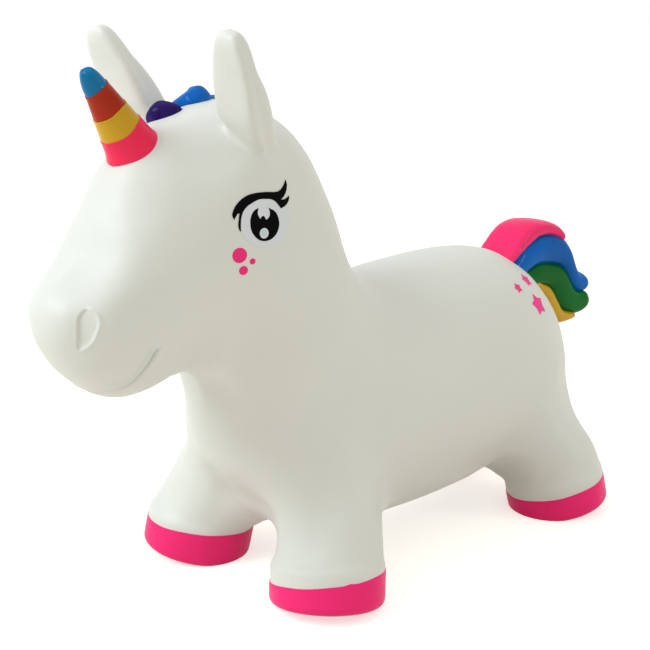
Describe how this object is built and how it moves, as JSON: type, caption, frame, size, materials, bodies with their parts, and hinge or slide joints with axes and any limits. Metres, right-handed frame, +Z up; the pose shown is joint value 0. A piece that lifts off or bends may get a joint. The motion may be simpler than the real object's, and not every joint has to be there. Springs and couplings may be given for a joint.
{
  "type": "bouncy ride-on animal",
  "caption": "Inflatable ride-on unicorn: a rounded white vinyl body on splayed stub legs with pink hooves, two ears to hold, a banded horn, mane and tail.",
  "frame": {"origin": "on the floor, under the middle of the whole length and width", "axes": "+Z up, -Y the way the animal looks, +X its left side"},
  "size_m": [0.2772, 0.7194, 0.4942],
  "materials": {
    "white_vinyl": "soft white PVC, satin, slightly grained by the mould",
    "hoof_pink": "sprayed hot pink over the vinyl, satin",
    "paint_pink": "glossy pink sprayed paint on vinyl",
    "paint_yellow": "glossy yellow sprayed paint on vinyl",
    "paint_orange": "glossy orange-red sprayed paint on vinyl",
    "paint_sky": "glossy sky-blue sprayed paint on vinyl",
    "paint_blue": "glossy blue sprayed paint on vinyl",
    "paint_green": "glossy green sprayed paint on vinyl",
    "paint_purple": "glossy purple sprayed paint on vinyl",
    "eye_print_white": "printed white ink, glossy",
    "eye_print_black": "printed black ink, glossy",
    "valve_vinyl": "plain white moulded vinyl, satin"
  },
  "bodies": {
    "body": {"torso": "white_vinyl", "neck": "white_vinyl", "head": "white_vinyl", "left_front_leg": "white_vinyl", "left_rear_leg": "white_vinyl", "right_front_leg": "white_vinyl", "right_rear_leg": "white_vinyl", "left_front_hoof": "hoof_pink", "left_rear_hoof": "hoof_pink", "right_front_hoof": "hoof_pink", "right_rear_hoof": "hoof_pink", "left_ear": "white_vinyl", "right_ear": "white_vinyl", "left_eye_white": "eye_print_white", "left_eye_iris": "eye_print_black", "left_eye_lash": "eye_print_black", "right_eye_white": "eye_print_white", "right_eye_iris": "eye_print_black", "right_eye_lash": "eye_print_black", "horn_ring_pink": "paint_pink", "horn_ring_yellow": "paint_yellow", "horn_ring_orange": "paint_orange", "horn_tip_sky": "paint_sky", "forelock_purple": "paint_purple", "mane_lock_blue": "paint_blue", "mane_lock_sky": "paint_sky", "mane_lock_violet": "paint_purple", "mane_lock_pink": "paint_pink", "mane_lock_blue_low": "paint_blue", "tail_strand_pink": "paint_pink", "tail_strand_blue": "paint_blue", "tail_strand_green": "paint_green", "tail_strand_yellow": "paint_yellow", "valve_port": "valve_vinyl"},
    "plug": {"valve_plug": "valve_vinyl"}
  },
  "joints": [
    {"name": "plug_pull", "type": "slide", "parent": "body", "child": "plug", "axis": [0, 0, -1], "range_m": [0, 0.018]}
  ]
}
